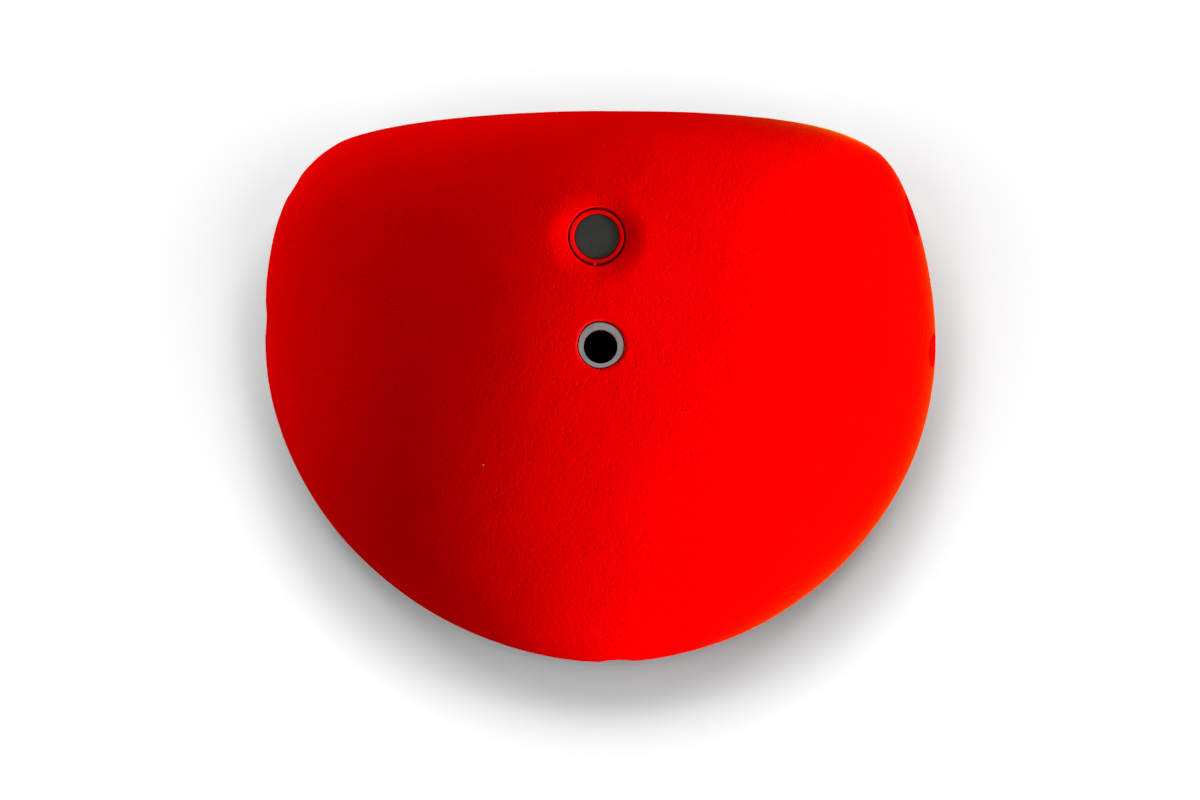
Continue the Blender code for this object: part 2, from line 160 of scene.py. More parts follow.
sandedRed = {
    "colour": (0.90, 0.0001, 0.0001),
    "deep": (0.63, 0.0001, 0.0001),
    "roughness": 0.9,
    "patchScale": 60.0,
    "patchRange": (0.35, 0.7),
    "grainScale": 1200.0,
    "coarseScale": 640.0,
    "bumpStrength": 1.0,
    "bumpHeight": 0.00012,
    "pitScale": 210.0,
    "pitRange": (0.04, 0.16),
    "scarRange": (0.28, 0.42),
    "scarPatches": (0.35, 0.6),
    "rises": {"fine": 0.6, "coarse": 0.7, "pits": 0.5, "scars": 0.5},
    "darkness": {"patches": 0.12, "pits": 0.5, "scars": 0.22},
    # The sheen keys below make a painted highlight on the lit right side; its roughness and tint also
    # serve the badge's own sheen
    "paintedSheen": 1.0,
    "sheenRoughness": 0.27,
    "sheenTint": (1.0, 0.40, 0.0, 1.0),
    "paintedSheenStart": (0.030, 0.085),
    "paintedSheenEnd": (0.045, 0.078),
    "paintedSheenThinning": 0.65,
    "dust": (0.95, 0.36, 0.32),
    "dustScale": 75.0,
    "dustCells": (0.74, 0.75),
    "dustSize": (0.016, 0.028),
}


def makeSandedRed():
    material, wire, place = startMaterial("sanded_red")
    look = sandedRed
    patches = grain(wire, place, look["patchScale"], 3.0)
    fine = grain(wire, place, look["grainScale"], 3.0, 0.6)
    coarse = grain(wire, place, look["coarseScale"], 2.0)
    pits = 1.0 - cells(wire, place, look["pitScale"]).ramp(*look["pitRange"])
    scars = (1.0 - coarse.ramp(*look["scarRange"])) * patches.ramp(*look["scarPatches"])
    rises = look["rises"]
    height = fine * rises["fine"] + coarse * rises["coarse"]
    height = height - pits * rises["pits"] - scars * rises["scars"]
    bump = bumpFrom(wire, look, height)
    # The pits and scars are darkened in colour as well as sunk: painted shade in those hollows; the
    # patches are the resin's own uneven tone
    darkness = look["darkness"]
    dark = patches.ramp(*look["patchRange"]) * darkness["patches"]
    dark = dark + pits * darkness["pits"] + scars * darkness["scars"]
    few = cells(wire, place, look["dustScale"], 1).ramp(*look["dustCells"])
    dust = few * (1.0 - cells(wire, place, look["dustScale"]).ramp(*look["dustSize"]))
    resin = dark.blend(look["colour"], look["deep"])
    skin = {
        "Base Color": dust.blend(resin, look["dust"]),
        "Roughness": look["roughness"],
        "Specular IOR Level": 0.0,
        "Normal": bump,
    }
    plain = wire.node("BsdfPrincipled", None, skin)
    sheenedSkin = wire.node("BsdfPrincipled", None, skin | {
        "Sheen Weight": look["paintedSheen"],
        "Sheen Roughness": look["sheenRoughness"],
        "Sheen Tint": look["sheenTint"],
    })
    # Painted highlight: the orange sheen is put on the right side alone, where the key lamp falls, and
    # thins towards the lip
    rightward = wire.node("SeparateXYZ", None, {"Vector": place})
    upward = wire.node("SeparateXYZ", None, {"Vector": place}, 1)
    paintedSheenFade = 1.0 - upward.ramp(*look["paintedSheenEnd"]) * look["paintedSheenThinning"]
    paintedSheen = rightward.ramp(*look["paintedSheenStart"]) * paintedSheenFade
    finishMaterial(wire, wire.node("MixShader", None, {0: paintedSheen, 1: plain, 2: sheenedSkin}))
    return material


castRed = {
    "colour": (0.95, 0.0006, 0.0004),
    "deep": (0.84, 0.0005, 0.0003),
    "roughness": 0.55,
    "cloudScale": 45.0,
    "cloudRange": (0.35, 0.7),
    "cloudRoughness": 0.15,
    "bubbleScale": 260.0,
    "bubbleRange": (0.05, 0.13),
    "rises": {"clouds": 0.5, "bubbles": 0.6},
    "darkness": {"clouds": 0.5, "bubbles": 0.4},
    "bumpStrength": 0.6,
    "bumpHeight": 0.0004,
    "specular": 0.04,
    "glow": 0.5,
    "glowRadius": (1.0, 0.05, 0.03),
    "glowReach": 0.0040,
}


# The resin as it leaves the mould, in the pockets and behind the front
def makeCastRed():
    material, wire, place = startMaterial("cast_red")
    look = castRed
    clouds = grain(wire, place, look["cloudScale"], 4.0)
    bubbles = 1.0 - cells(wire, place, look["bubbleScale"]).ramp(*look["bubbleRange"])
    height = clouds * look["rises"]["clouds"] - bubbles * look["rises"]["bubbles"]
    bump = bumpFrom(wire, look, height)
    # The bubbles are darkened in colour as well as sunk: painted shade in those hollows; the clouds are
    # the resin's own uneven tone
    darkness = look["darkness"]
    dark = clouds.ramp(*look["cloudRange"]) * darkness["clouds"] + bubbles * darkness["bubbles"]
    shader = wire.node("BsdfPrincipled", None, {
        "Base Color": dark.blend(look["colour"], look["deep"]),
        "Roughness": look["roughness"] + look["cloudRoughness"] * clouds,
        "Specular IOR Level": look["specular"],
        "Subsurface Weight": look["glow"],
        "Subsurface Radius": look["glowRadius"],
        "Subsurface Scale": look["glowReach"],
        "Normal": bump,
    })
    finishMaterial(wire, shader)
    return material


# Body

body = {
    "topY": 0.0841,
    "bottom": (0.0026, -0.1130),
    "halfWidth": 0.1200,
    "topReach": 0.0590,
    "bottomReach": 0.0608,
    "rightShoulder": (0.0984, 0.0699),
    "rightShoulderSlope": radians(-35.0),
    "rightShoulderReach": (0.0179, 0.0158),
    "rightSideY": 0.0006,
    "rightSideReach": (0.0238, 0.0642),
    "leftShoulder": (-0.0923, 0.0733),
    "leftShoulderSlope": radians(26.0),
    "leftShoulderReach": (0.0061, 0.0318),
    "leftSideY": 0.0031,
    "leftSideReach": (0.0164, 0.0654),
    "outlineSteps": (64, 48, 80),
    "crownHeight": 0.0900,
    "crownFullness": 2.2,
    "crownLean": -0.050,
    "leanMiddle": (0.0, 0.0170),
    "leanReach": (0.0600, 0.0700),
    "ellipseReach": 0.0980,
    "ellipseHold": 3.0,
    "rimHeight": 0.0160,
    "rimTuck": 0.0018,
    "backEdge": 0.0010,
    "backEdgeSteps": 3,
    "frontRings": 72,
    "gap": 0.0003,
    "overshoot": 0.0100,
    "sharpAngle": radians(35.0),
    "mergeDistance": 1e-6,
}

pocket = {
    "lipHeight": 0.0500,
    "lipRiseLength": 0.1120,
    "lipRounding": (0.0100, 0.0060),
    "lipSteps": 8,
    "roofHeight": 0.0580,
    "roofSteps": 8,
    "depth": 0.0601,
    "endReach": 0.0240,
    "endSteps": 20,
    "floorSteps": 6,
    "halfWidth": 0.0920,
    "sideBlend": 0.0440,
    "baseThickness": 0.0120,
    "baseSetback": 0.0045,
    "baseRounding": 0.0050,
    "baseSteps": 5,
}

badge = {
    "place": Vector((-0.0013, 0.0390)),
    "radius": 0.00955,
    "groove": 0.00090,
    "top": 0.0878,
    "floor": 0.0833,
    "fieldHeight": 0.0869,
    "fieldRadius": 0.00795,
    "fieldThickness": 0.0010,
    "dimpleRadius": 0.0185,
    "dimpleDepth": 0.0030,
    "dimpleWaves": ((1, 0.18), (2, 0.12)),
    "dimpleRings": 18,
    "rimEase": 0.0003,
    "fieldEase": 0.0002,
    "fieldDome": 0.0001,
    "mouthEase": 0.0005,
    "mouthSlope": 10.0,
    "mouthSteps": 5,
    "easeSteps": 4,
    "rimSteps": 6,
    "fieldRings": (0.7, 0.4, 0.0),
    "gateSize": (0.0009, 0.0013, 0.0014),
    "gateEase": 0.000225,
    "gatePlace": (-0.0020, 0.0291),
    "gateTop": 0.0881,
    "steps": 96,
}


def smoothstep(low, high, value):
    t = min(max((value - low) / (high - low), 0.0), 1.0)
    return t * t * (3.0 - 2.0 * t)


def mix(a, b, weight):
    return a + (b - a) * weight


def outlinePoints():
    rightRun = Vector((cos(body["rightShoulderSlope"]), sin(body["rightShoulderSlope"])))
    leftRun = Vector((cos(body["leftShoulderSlope"]), sin(body["leftShoulderSlope"])))
    across = Vector((1.0, 0.0))
    up = Vector((0.0, 1.0))
    # Clockwise from the top: knot, run before it and run after it
    knots = (
        (Vector((0.0, body["topY"])), -across * body["topReach"], across * body["topReach"]),
        (Vector(body["rightShoulder"]), -rightRun * body["rightShoulderReach"][0],
         rightRun * body["rightShoulderReach"][1]),
        (Vector((body["halfWidth"], body["rightSideY"])), up * body["rightSideReach"][0],
         -up * body["rightSideReach"][1]),
        (Vector(body["bottom"]), across * body["bottomReach"], -across * body["bottomReach"]),
        (Vector((-body["halfWidth"], body["leftSideY"])), -up * body["leftSideReach"][1],
         up * body["leftSideReach"][0]),
        (Vector(body["leftShoulder"]), -leftRun * body["leftShoulderReach"][1],
         leftRun * body["leftShoulderReach"][0]),
    )
    steps = body["outlineSteps"] + body["outlineSteps"][::-1]
    points = []
    for (start, _, leave), (end, arrive, _), count in zip(knots, knots[1:] + knots[:1], steps):
        points += interpolate_bezier(start, start + leave, end + arrive, end, count + 1)[:-1]
    return [Vector(point[:2]) for point in points]


def edgeHeight(edge):
    lift = smoothstep(body["topY"] - pocket["lipRiseLength"], body["topY"], edge.y)
    return mix(body["rimHeight"], pocket["lipHeight"], lift)


# Where the ray from the badge through an outline point meets the ellipse of the level lines, as a share
# of the way to that outline point
def stretchTo(edge):
    def inCircle(point):
        return Vector((point.x / body["halfWidth"], point.y / body["ellipseReach"]))
    centre = inCircle(badge["place"])
    run = inCircle(edge) - centre
    hits = intersect_line_sphere_2d(centre, inCircle(edge), (0.0, 0.0), 1.0, False)
    return max((hit - centre).dot(run) for hit in hits) / run.dot(run)


def frontReach(edge, stretch, share, inset=0.0):
    reach = (edge - badge["place"]).length * mix(stretch, 1.0, share ** body["ellipseHold"])
    return reach - inset


# The middle of the front falls a little to the right
def leanAt(spot):
    apart = spot - Vector(body["leanMiddle"])
    far = Vector((apart.x / body["leanReach"][0], apart.y / body["leanReach"][1])).length
    return apart.x * body["crownLean"] * (1.0 - smoothstep(0.0, 1.0, far))


def frontPoint(edge, stretch, share, inset=0.0):
    base = edgeHeight(edge) - inset
    reach = share * frontReach(edge, stretch, share, inset)
    spot = badge["place"] + (edge - badge["place"]).normalized() * reach
    rise = (body["crownHeight"] - inset - base) * (1.0 - share ** 2) ** (1.0 / body["crownFullness"])
    return Vector((spot.x, spot.y, base + rise + leanAt(spot)))


def shareAtRadius(edge, stretch, radius, inset=0.0):
    low = 0.0
    high = 1.0
    while high - low > body["mergeDistance"]:
        middle = (low + high) / 2
        if middle * frontReach(edge, stretch, middle, inset) < radius:
            low = middle
        else:
            high = middle
    return low


def frontRings(edges, steps, inset=0.0):
    columns = []
    for edge in edges:
        stretch = stretchTo(edge)
        start = asin(shareAtRadius(edge, stretch, badge["dimpleRadius"], inset))
        turns = [mix(start, pi / 2, step / steps) for step in range(steps + 1)]
        columns.append([frontPoint(edge, stretch, sin(turn), inset) for turn in turns])
    return [list(ring) for ring in zip(*columns)]


# The dimple is deeper on the right and shallower above and below
def dimpleSink(apart):
    turn = atan2(apart.y, apart.x)
    wave = sum(size * cos(count * turn) for count, size in badge["dimpleWaves"])
    share = min(apart.length / badge["dimpleRadius"], 1.0)
    return badge["dimpleDepth"] * (1.0 + wave) * (1.0 + cos(pi * share)) / 2


def dimpleRing(edges, radius):
    ring = []
    for edge in edges:
        stretch = stretchTo(edge)
        point = frontPoint(edge, stretch, shareAtRadius(edge, stretch, radius))
        sink = dimpleSink((edge - badge["place"]).normalized() * radius)
        ring.append(point - Vector((0.0, 0.0, sink)))
    return ring


def arc(centre, radii, start, end, steps):
    turns = [radians(mix(start, end, step / steps)) for step in range(1, steps + 1)]
    return [(centre[0] + radii[0] * cos(turn), centre[1] + radii[1] * sin(turn)) for turn in turns]


# Distance down from the lip, and height, from the lip round the pocket to the wall plane
def pocketSection(top):
    entry, drop = pocket["lipRounding"]
    lipInner = pocket["lipHeight"] - drop
    thick = pocket["baseThickness"]
    middle = (pocket["roofHeight"] + thick) / 2
    halfHeight = (pocket["roofHeight"] - thick) / 2
    end = pocket["depth"] - pocket["endReach"]
    floorEnd = pocket["baseSetback"] + pocket["baseRounding"]
    section = arc((entry, top), (entry, top - lipInner), 180.0, 270.0, pocket["lipSteps"])
    for step in range(1, pocket["roofSteps"] + 1):
        share = step / pocket["roofSteps"]
        height = mix(lipInner, pocket["roofHeight"], smoothstep(0.0, 1.0, share))
        section.append((mix(entry, end, share), height))
    section += arc((end, middle), (pocket["endReach"], halfHeight), 90.0, -90.0, pocket["endSteps"])
    for step in range(1, pocket["floorSteps"] + 1):
        section.append((mix(end, floorEnd, step / pocket["floorSteps"]), thick))
    rounding = pocket["baseRounding"]
    section += arc((floorEnd, thick - rounding), (rounding, rounding), 90.0, 180.0, pocket["baseSteps"])
    section.append((pocket["baseSetback"], body["backEdge"]))
    return section


def backRings(edges):
    columns = []
    for edge in edges:
        top = edgeHeight(edge)
        inward = (badge["place"] - edge).normalized()
        weight = 0.0
        if edge.y > badge["place"].y:
            start = pocket["halfWidth"] - pocket["sideBlend"]
            weight = 1.0 - smoothstep(start, pocket["halfWidth"], abs(edge.x))
        section = pocketSection(top)
        column = []
        for step, (down, height) in enumerate(section, start=1):
            fall = step / len(section)
            plain = edge + inward * body["rimTuck"] * fall ** 2
            spot = plain.lerp(edge - Vector((0.0, down)), weight)
            plainHeight = mix(top, body["backEdge"], fall)
            column.append(Vector((spot.x, spot.y, mix(plainHeight, height, weight))))
        last = column[-1].copy()
        for slide, height in arc((1.0, 1.0), (1.0, 1.0), 180.0, 270.0, body["backEdgeSteps"]):
            spot = last.xy + inward * body["backEdge"] * slide
            column.append(Vector((spot.x, spot.y, body["backEdge"] * height)))
        columns.append(column)
    return [list(ring) for ring in zip(*columns)]


def firstRing(mesh, points):
    ring = [mesh.verts.new(point) for point in points]
    for start, end in zip(ring, ring[1:] + ring[:1]):
        mesh.edges.new((start, end))
    return ring


def ringEdges(mesh, ring):
    return [mesh.edges.get(pair) for pair in zip(ring, ring[1:] + ring[:1])]


def nextRing(mesh, ring, points):
    made = bmesh.ops.extrude_edge_only(mesh, edges=ringEdges(mesh, ring))["geom"]
    fresh = {item for item in made if isinstance(item, bmesh.types.BMVert)}
    twins = []
    for vert in ring:
        others = [edge.other_vert(vert) for edge in vert.link_edges]
        twins.append(next(other for other in others if other in fresh))
    for twin, point in zip(twins, points):
        twin.co = point
    return twins


def closeOn(mesh, ring, point):
    ring = nextRing(mesh, ring, [point] * len(ring))
    bmesh.ops.pointmerge(mesh, verts=ring, merge_co=point)


def closeFlat(mesh, ring):
    bmesh.ops.contextual_create(mesh, geom=ringEdges(mesh, ring))


def turned(profile, steps):
    mesh = bmesh.new()
    verts = [mesh.verts.new((radius, 0.0, height)) for radius, height in profile]
    edges = [mesh.edges.new(pair) for pair in zip(verts, verts[1:] + verts[:1])]
    bmesh.ops.spin(mesh, geom=verts + edges, cent=(0.0, 0.0, 0.0), axis=(0.0, 0.0, 1.0), angle=2 * pi,
                   steps=steps, use_merge=True)
    bmesh.ops.remove_doubles(mesh, verts=mesh.verts, dist=body["mergeDistance"])
    bmesh.ops.recalc_face_normals(mesh, faces=mesh.faces)
    return mesh


def makePiece(name, mesh, materials):
    bmesh.ops.recalc_face_normals(mesh, faces=mesh.faces)
    data = bpy.data.meshes.new(name)
    mesh.to_mesh(data)
    mesh.free()
    for material in materials:
        data.materials.append(material)
    data.shade_smooth()
    data.set_sharp_from_angle(angle=body["sharpAngle"])
    piece = bpy.data.objects.new(name, data)
    bpy.context.collection.objects.link(piece)
    return piece


# Gives a piece the evaluated result of one Boolean and removes the cutter
def cut(piece, operation, cutter):
    modifier = piece.modifiers.new(cutter.name, "BOOLEAN")
    modifier.operation = operation
    modifier.solver = "EXACT"
    modifier.object = cutter
    shape = piece.evaluated_get(bpy.context.evaluated_depsgraph_get())
    data = bpy.data.meshes.new_from_object(shape)
    piece.modifiers.clear()
    piece.data = data
    bpy.data.objects.remove(cutter)


waviness = {
    "start": (0.002, 0.010),
    "size": 0.0045,
    "height": 0.00005,
    "broadSize": 0.0300,
    "broadHeight": 0.00025,
}


# Small rises and hollows of a hand-carved model, none on the wall face
def roughen(mesh):
    mesh.normal_update()
    for vert in mesh.verts:
        weight = smoothstep(*waviness["start"], vert.co.z)
        near = noise.noise(vert.co / waviness["size"]) * waviness["height"]
        broad = noise.noise(vert.co / waviness["broadSize"]) * waviness["broadHeight"]
        vert.co += vert.normal * weight * (near + broad)


def makeBlock():
    edges = outlinePoints()
    mesh = bmesh.new()
    front = frontRings(edges, body["frontRings"])
    widest = firstRing(mesh, front[-1])
    ring = widest
    for points in reversed(front[:-1]):
        ring = nextRing(mesh, ring, points)
    for step in range(badge["dimpleRings"] - 1, 0, -1):
        radius = badge["dimpleRadius"] * step / badge["dimpleRings"]
        ring = nextRing(mesh, ring, dimpleRing(edges, radius))
    closeOn(mesh, ring, dimpleRing(edges[:1], 0.0)[0])
    ring = widest
    for points in backRings(edges):
        ring = nextRing(mesh, ring, points)
    closeFlat(mesh, ring)
    bmesh.ops.recalc_face_normals(mesh, faces=mesh.faces)
    roughen(mesh)
    return mesh


# Hollow back

hollow = {
    "wall": 0.0110,
    "bossRadius": 0.0230,
    "bossSteps": 16,
    "ribs": ((-180.0, 0.0210), (-135.0, 0.0090), (-90.0, 0.0210), (-45.0, 0.0090), (0.0, 0.0210)),
    "corner": 0.0040,
    "cornerSteps": 5,
    "rings": 24,
}


def ribSide(rib, turn):
    angle, width = rib
    run = Vector((cos(radians(angle)), sin(radians(angle))))
    shift = Vector((-run.y, run.x)) * turn * width / 2
    near = sqrt(hollow["bossRadius"] ** 2 - shift.length ** 2)
    return shift + run * near, shift + run * 2 * body["halfWidth"]


# One hollow between two ribs and the boss; gives back its two upright edges at the boss
def cellBlock(mesh, firstRib, lastRib):
    firstNear, firstFar = ribSide(firstRib, 1.0)
    lastNear, lastFar = ribSide(lastRib, -1.0)
    start = atan2(firstNear.y, firstNear.x)
    end = atan2(lastNear.y, lastNear.x)
    turns = [mix(end, start, step / hollow["bossSteps"]) for step in range(hollow["bossSteps"] + 1)]
    plan = [firstFar, lastFar]
    plan += [Vector((cos(turn), sin(turn))) * hollow["bossRadius"] for turn in turns]
    low = firstRing(mesh, [Vector((*point, -body["overshoot"])) for point in plan])
    closeFlat(mesh, low)
    high = nextRing(mesh, low, [Vector((*point, body["crownHeight"])) for point in plan])
    closeFlat(mesh, high)
    return [mesh.edges.get((low[index], high[index])) for index in (2, len(plan) - 1)]


def makeHollow():
    edges = outlinePoints()[::2]
    mesh = bmesh.new()
    rings = frontRings(edges, hollow["rings"], hollow["wall"])
    ring = firstRing(mesh, [Vector((point.x, point.y, -body["overshoot"])) for point in rings[-1]])
    closeFlat(mesh, ring)
    for points in reversed(rings):
        ring = nextRing(mesh, ring, points)
    closeOn(mesh, ring, frontPoint(edges[0], stretchTo(edges[0]), 0.0, hollow["wall"]))
    core = makePiece("core", mesh, [])
    mesh = bmesh.new()
    corners = []
    for first, last in zip(hollow["ribs"], hollow["ribs"][1:]):
        corners += cellBlock(mesh, first, last)
    bmesh.ops.bevel(mesh, geom=corners, offset=hollow["corner"], offset_type="OFFSET",
                    segments=hollow["cornerSteps"], profile=0.5, affect="EDGES", material=-1)
    cut(core, "INTERSECT", makePiece("cell_blocks", mesh, []))
    return core


# Bolt hole and screw pockets

bolt = {
    "bore": 0.0060,
    "seatDepth": 0.0110,
    "mouthRounding": 0.0006,
    "mouthSlope": 20.0,
    "mouthSteps": 5,
    "landRadius": 0.0085,
    "landRise": 0.0010,
    "landGap": 0.00004,
    "landEase": 0.00008,
    "easeSteps": 4,
    "landShift": (0.0001, 0.0006),
    "landWaves": ((3, 0.4, 0.012), (5, 2.1, 0.006)),
    "flangeRadius": 0.0140,
    "flangeThickness": 0.0025,
    "steps": 96,
}

screws = {
    "places": {
        "right": (-0.6, 0.0080),
        "upper_right": (24.0, 0.0045),
        "upper_left": (152.0, -0.0045),
        "left": (175.0, 0.0),
        "bottom": (-87.0, 0.0010),
    },
    "mouths": {
        "right": ((0.0007, 0.0), (1.0, 1.0)),
        "upper_right": ((0.0, 0.0027), (0.88, 1.30)),
    },
    "tilt": radians(48.0),
    "hole": 0.0026,
    "seatDepth": 0.0115,
    "washerRadius": 0.0060,
    "washerThickness": 0.0015,
    "washerEase": 0.0003,
    "easeSteps": 4,
    "steps": 56,
}


def outlineAlong(start, run):
    points = outlinePoints()
    far = start + run.normalized() * 3 * body["halfWidth"]
    for near, end in zip(points, points[1:] + points[:1]):
        crossing = intersect_line_line_2d(start, far, near, end)
        if crossing:
            side = end - near
            return crossing, Vector((-side.y, side.x)).normalized()


# Height of the front over a place, with the dimple round the badge
def frontHeight(place):
    apart = place - badge["place"]
    run = apart if apart.length > body["mergeDistance"] else Vector((0.0, -1.0))
    edge = outlineAlong(badge["place"], run)[0]
    stretch = stretchTo(edge)
    height = frontPoint(edge, stretch, shareAtRadius(edge, stretch, apart.length)).z
    return height - dimpleSink(apart)


# Lays the rim of a cutter that was made for a level front on the real one
def layOnFront(mesh, low, level):
    for vert in mesh.verts:
        if vert.co.z > low:
            vert.co.z += frontHeight(vert.co.xy) - level


boltMouth = frontHeight(Vector((0.0, 0.0)))
boltSeat = boltMouth - bolt["seatDepth"]


# The washer sits a little out of the middle of its hole, and the resin's edge round it isn't quite round
def shiftedAbove(mesh, height):
    inner = (bolt["bore"] + bolt["landRadius"]) / 2
    high = [vert for vert in mesh.verts if vert.co.z > height and vert.co.xy.length > inner]
    for vert in high:
        turn = atan2(vert.co.y, vert.co.x)
        wave = sum(size * cos(count * turn + start) for count, start, size in bolt["landWaves"])
        vert.co.xy *= 1.0 + wave
    bmesh.ops.translate(mesh, verts=high, vec=(*bolt["landShift"], 0.0))
    return mesh


def boltCutter():
    top = boltSeat - bolt["landRise"]
    bottom = top - bolt["flangeThickness"]
    gap = body["gap"]
    counterbore = bolt["landRadius"] + bolt["landGap"]
    rounding = bolt["mouthRounding"]
    over = body["overshoot"]
    profile = [(0.0, -over), (bolt["bore"], -over), (bolt["bore"], bottom - gap)]
    profile += [(bolt["flangeRadius"] + gap, bottom - gap), (bolt["flangeRadius"] + gap, top + gap)]
    profile += [(counterbore, top + gap), (counterbore, boltMouth - rounding)]
    profile += arc((counterbore + rounding, boltMouth - rounding), (rounding, rounding), 180.0,
                   90.0 + bolt["mouthSlope"], bolt["mouthSteps"])
    slope = sin(radians(bolt["mouthSlope"]))
    profile += [(profile[-1][0] + over, profile[-1][1] + over * slope), (0.0, boltMouth + over)]
    mesh = shiftedAbove(turned(profile, bolt["steps"]), top)
    layOnFront(mesh, boltSeat + rounding, boltMouth)
    return mesh


def badgeCutter():
    radius = badge["radius"] + badge["groove"]
    mouth = body["crownHeight"] - badge["dimpleDepth"]
    low = badge["floor"] - body["gap"]
    over = body["overshoot"]
    ease = badge["mouthEase"]
    profile = [(0.0, low), (radius, low), (radius, mouth - ease)]
    profile += arc((radius + ease, mouth - ease), (ease, ease), 180.0, 90.0 + badge["mouthSlope"],
                   badge["mouthSteps"])
    profile += [(radius + ease * 2, mouth + over), (0.0, mouth + over)]
    mesh = turned(profile, badge["steps"])
    bmesh.ops.translate(mesh, verts=mesh.verts, vec=badge["place"].to_3d())
    layOnFront(mesh, low + ease, mouth)
    return mesh


def screwFrame(angle, rise):
    edge, outward = outlineAlong(Vector((0.0, 0.0)), Vector((cos(radians(angle)), sin(radians(angle)))))
    tilt = screws["tilt"]
    axis = Vector((outward.x * cos(tilt), outward.y * cos(tilt), sin(tilt)))
    base = edgeHeight(edge)
    lift = max(rise, 0.0) / (body["crownHeight"] - base)
    mouth = frontPoint(edge, stretchTo(edge), sqrt(1.0 - lift ** body["crownFullness"]))
    mouth.z = base + rise
    turn = axis.to_track_quat("Z", "X").to_matrix().to_4x4()
    return Matrix.Translation(mouth - axis * screws["seatDepth"]) @ turn


# Some pockets widen and drift from the seat up to the mouth, across the outline and along it
def screwCutter(name):
    place = screwFrame(*screws["places"][name])
    drift, widening = screws["mouths"].get(name, ((0.0, 0.0), (1.0, 1.0)))
    over = body["overshoot"]
    low = -place.translation.z / sin(screws["tilt"]) - over
    radius = screws["washerRadius"] + body["gap"]
    high = screws["seatDepth"] + over
    profile = [(0.0, low), (screws["hole"], low), (screws["hole"], 0.0)]
    profile += [(radius, 0.0), (radius, high), (0.0, high)]
    mesh = turned(profile, screws["steps"])
    for vert in mesh.verts:
        share = max(vert.co.z, 0.0) / screws["seatDepth"]
        for side in (0, 1):
            vert.co[side] = vert.co[side] * mix(1.0, widening[side], share) + drift[side] * share
    bmesh.ops.transform(mesh, matrix=place, verts=mesh.verts)
    return mesh


def joined(meshes):
    whole = bmesh.new()
    for mesh in meshes:
        data = bpy.data.meshes.new("part")
        mesh.to_mesh(data)
        mesh.free()
        whole.from_mesh(data)
        bpy.data.meshes.remove(data)
    return whole


def makeGripBody():
    block = makePiece("grip_body", makeBlock(), [makeSandedRed(), makeCastRed()])
    print("body lofted:", len(block.data.polygons), "faces")
    core = makeHollow()
    hollowMesh = bmesh.new()
    hollowMesh.from_mesh(core.data)
    bpy.data.objects.remove(core)
    cutters = [hollowMesh, boltCutter(), badgeCutter()]
    cutters += [screwCutter(name) for name in screws["places"]]
    cutter = makePiece("cutters", joined(cutters), list(block.data.materials))
    for face in cutter.data.polygons:
        face.material_index = 1
    cut(block, "DIFFERENCE", cutter)
    block.data.set_sharp_from_angle(angle=body["sharpAngle"])
    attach(block, "root")
    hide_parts("grip_shell")
    print("body cut:", len(block.data.polygons), "faces")


makeGripBody()


# A ring with rounded edges, turned round the height axis
def easedRing(inner, outer, low, high, ease, easeSteps, steps):
    profile = arc((outer - ease, low + ease), (ease, ease), -90.0, 0.0, easeSteps)
    profile += arc((outer - ease, high - ease), (ease, ease), 0.0, 90.0, easeSteps)
    profile += arc((inner + ease, high - ease), (ease, ease), 90.0, 180.0, easeSteps)
    profile += arc((inner + ease, low + ease), (ease, ease), 180.0, 270.0, easeSteps)
    return turned(profile, steps)


def standFor(piece, node):
    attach(piece, "root")
    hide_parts(node)


zincSteel = {
    "colour": (0.26, 0.245, 0.245),
    "dull": (0.21, 0.20, 0.20),
    "dullRange": (0.4, 0.65),
    "roughness": 0.05,
    "cloudScale": 220.0,
    "cloudRoughness": 0.06,
    "speckScale": 1500.0,
    "bumpStrength": 0.05,
    "bumpHeight": 0.00003,
}


def makeZincSteel():
    material, wire, place = startMaterial("zinc_steel")
    look = zincSteel
    clouds = grain(wire, place, look["cloudScale"], 4.0, 0.6)
    specks = grain(wire, place, look["speckScale"])
    bump = bumpFrom(wire, look, specks + clouds)
    shader = wire.node("BsdfPrincipled", None, {
        "Base Color": clouds.ramp(*look["dullRange"]).blend(look["colour"], look["dull"]),
        "Metallic": 1.0,
        "Roughness": look["roughness"] + look["cloudRoughness"] * clouds,
        "Normal": bump,
    })
    finishMaterial(wire, shader)
    return material


# Bolt washer: its land shows in the hole, its wider flange is cast in
def makeBoltRing(material):
    top = boltSeat - bolt["landRise"]
    ease = bolt["landEase"]
    bore = bolt["bore"]
    land = bolt["landRadius"]
    flange = bolt["flangeRadius"]
    low = top - bolt["flangeThickness"]
    steps = bolt["easeSteps"]
    profile = arc((bore + ease, low + ease), (ease, ease), 180.0, 270.0, steps)
    profile += arc((flange - ease, low + ease), (ease, ease), -90.0, 0.0, steps)
    profile += arc((flange - ease, top - ease), (ease, ease), 0.0, 90.0, steps)
    profile += [(land + ease, top), (land, top + ease)]
    profile += arc((land - ease, boltSeat - ease), (ease, ease), 0.0, 90.0, steps)
    profile += arc((bore + ease, boltSeat - ease), (ease, ease), 90.0, 180.0, steps)
    mesh = shiftedAbove(turned(profile, bolt["steps"]), top)
    standFor(makePiece("bolt_ring", mesh, [material]), "bolt_washer")


def makeScrewWashers(material):
    for name, place in screws["places"].items():
        gap = body["gap"]
        mesh = easedRing(screws["hole"], screws["washerRadius"], gap, gap + screws["washerThickness"],
                         screws["washerEase"], screws["easeSteps"], screws["steps"])
        bmesh.ops.transform(mesh, matrix=screwFrame(*place), verts=mesh.verts)
        washer = makePiece("screw_washer_" + name, mesh, [material])
        standFor(washer, "set_screw_washer_" + name)


steel = makeZincSteel()
makeBoltRing(steel)
makeScrewWashers(steel)
print("steel washers made")


# Badge: a red disc with a raised rim round a bare dark field

